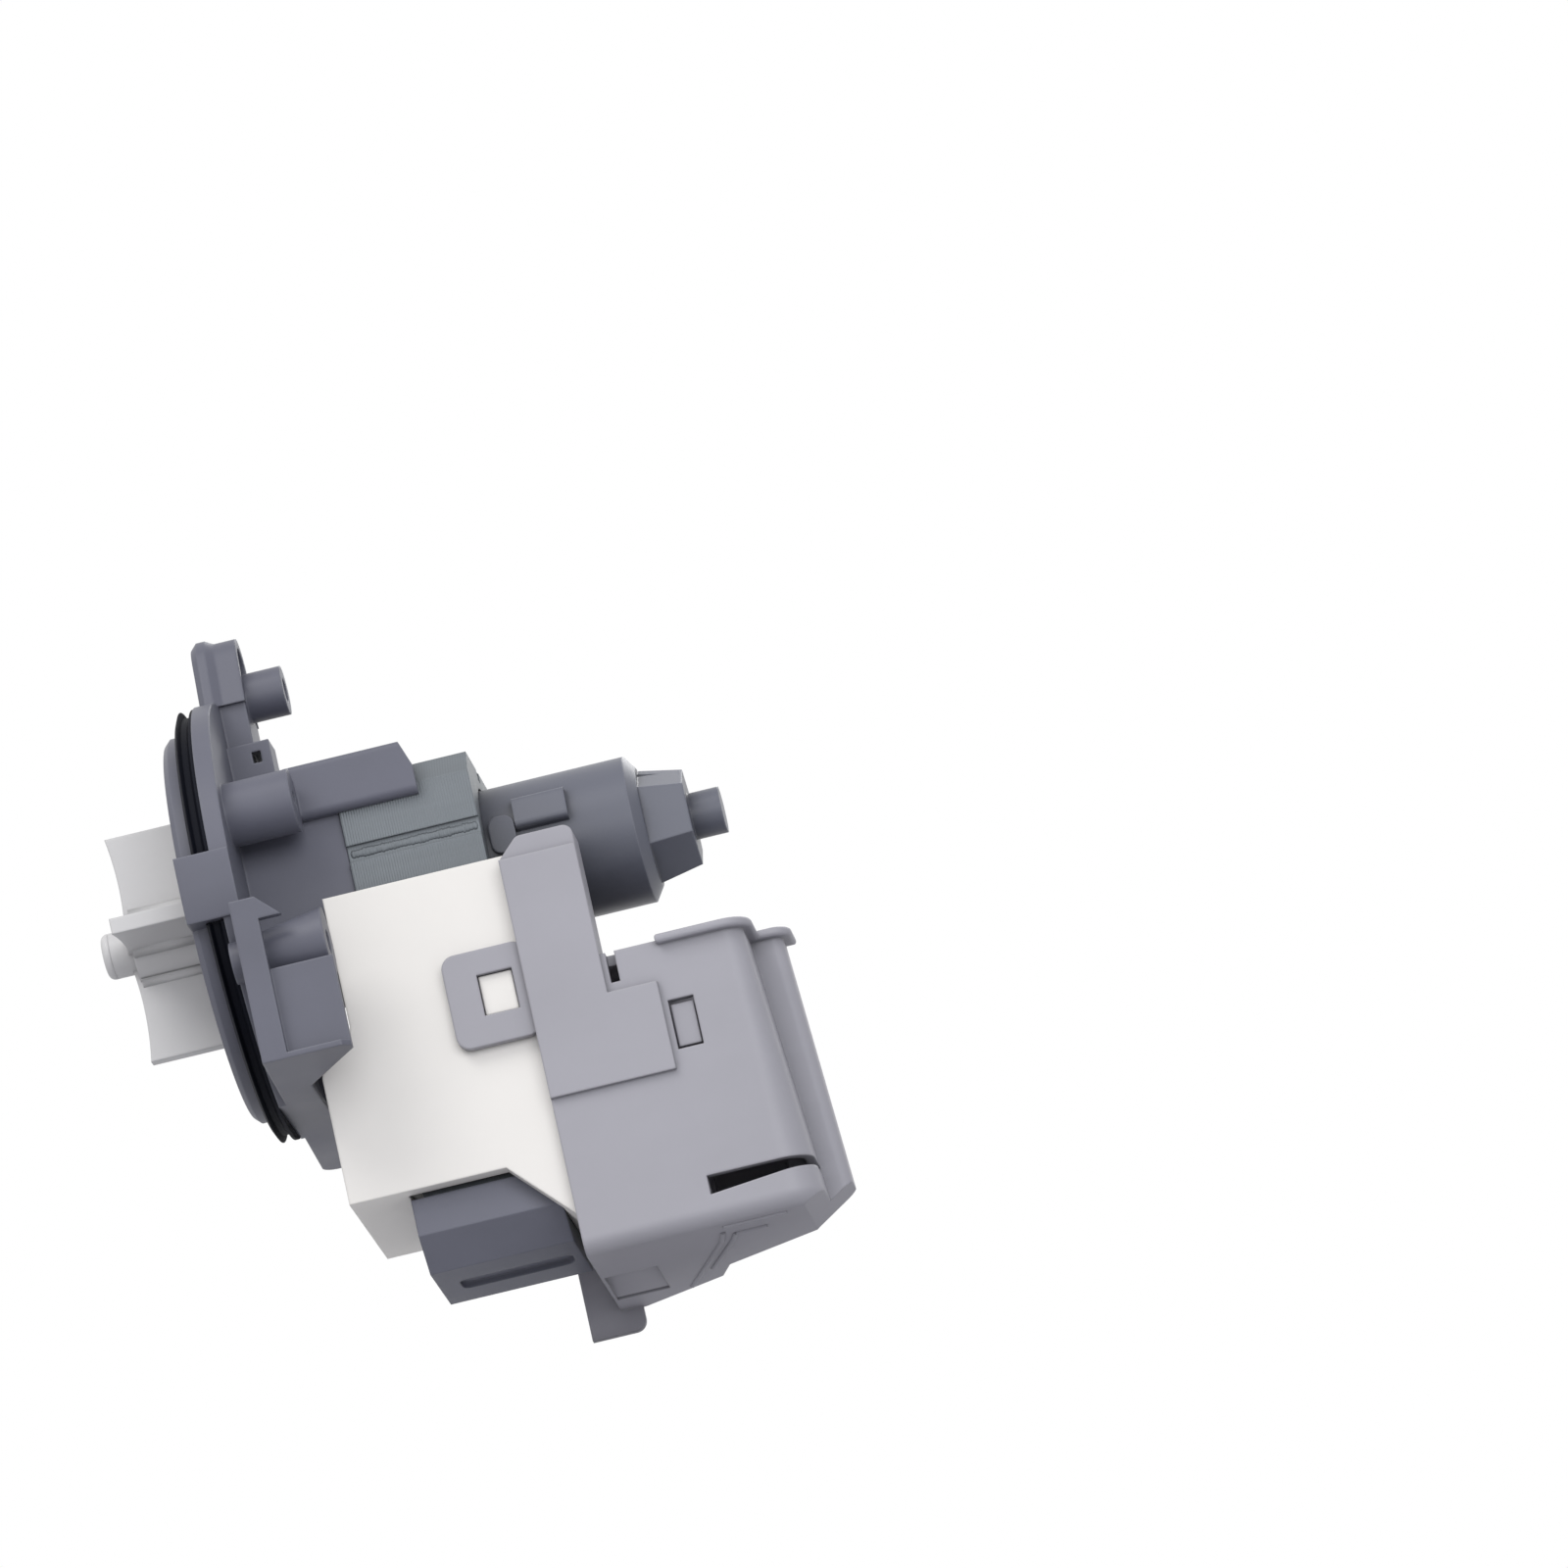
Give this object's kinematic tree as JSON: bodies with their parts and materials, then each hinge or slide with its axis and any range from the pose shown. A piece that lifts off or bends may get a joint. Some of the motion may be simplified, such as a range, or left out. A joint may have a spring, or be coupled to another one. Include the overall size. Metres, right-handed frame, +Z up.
{
  "type": "washer drain pump",
  "caption": "Drain pump for a washing machine: bladed impeller on a magnet rotor, sealed flange with mounting ears, U-core stator in a white jacket, grey terminal cover.",
  "frame": {"origin": "on the pump axis, in the front face of the flange that the gasket sits on, centre of the mounting ears' screw circle", "axes": "+X along the pump axis from the impeller to the motor's tail, +Z up with the coils hanging below the axis, -Y the near side with the snap window of the terminal cover"},
  "size_m": [0.1276, 0.0964, 0.1435],
  "materials": {
    "dark_grey_plastic": "satin moulded plastic, dark bluish grey",
    "slate_grey_plastic": "satin moulded plastic, slate grey",
    "black_rubber": "matt black rubber",
    "white_plastic": "satin moulded plastic, off-white",
    "jacket_plastic": "satin moulded plastic, warm white",
    "impeller_plastic": "satin moulded plastic, pale grey",
    "light_grey_plastic": "satin moulded plastic, light grey",
    "black_plastic": "matt black plastic",
    "bearing_ceramic": "ground ceramic",
    "shaft_steel": "ground steel",
    "ferrite": "ground ferrite magnet, matt dark grey",
    "core_steel": "varnished steel laminations, blue-grey",
    "copper_wire": "enamelled copper wire, semi-gloss",
    "tinned_brass": "tinned brass, satin"
  },
  "bodies": {
    "pump": {"bearing_plate": "white_plastic", "bobbin_far": "white_plastic", "bobbin_near": "white_plastic", "chamber_o_ring": "black_rubber", "coil_jacket": "jacket_plastic", "connector_insert": "light_grey_plastic", "flange_gasket": "black_rubber", "front_bearing": "bearing_ceramic", "pole_core": "core_steel", "pump_flange": "dark_grey_plastic", "rear_bearing": "bearing_ceramic", "rear_bearing_cup": "black_rubber", "rotor_chamber": "dark_grey_plastic", "shaft_seal": "black_rubber", "terminal_blades": "tinned_brass", "terminal_cover": "light_grey_plastic", "terminal_links": "tinned_brass", "thermal_cutout": "black_plastic", "winding_far": "copper_wire", "winding_near": "copper_wire", "yoke_core": "core_steel", "yoke_shoe": "slate_grey_plastic"},
    "rotor": {"rotor_shaft": "shaft_steel", "rotor_magnet": "ferrite", "rotor_sleeve": "white_plastic", "thrust_washers": "bearing_ceramic", "drive_dog": "white_plastic"},
    "impeller": {"impeller": "impeller_plastic", "impeller_cap": "impeller_plastic", "drive_damper": "black_rubber"}
  },
  "joints": [
    {"name": "rotor_spin", "type": "hinge", "parent": "pump", "child": "rotor", "pos_m": [0, 0, 0], "axis": [1, 0, 0], "continuous": true},
    {"name": "impeller_play", "type": "hinge", "parent": "rotor", "child": "impeller", "pos_m": [0, 0, 0], "axis": [1, 0, 0], "range_deg": [-84, 84]}
  ]
}
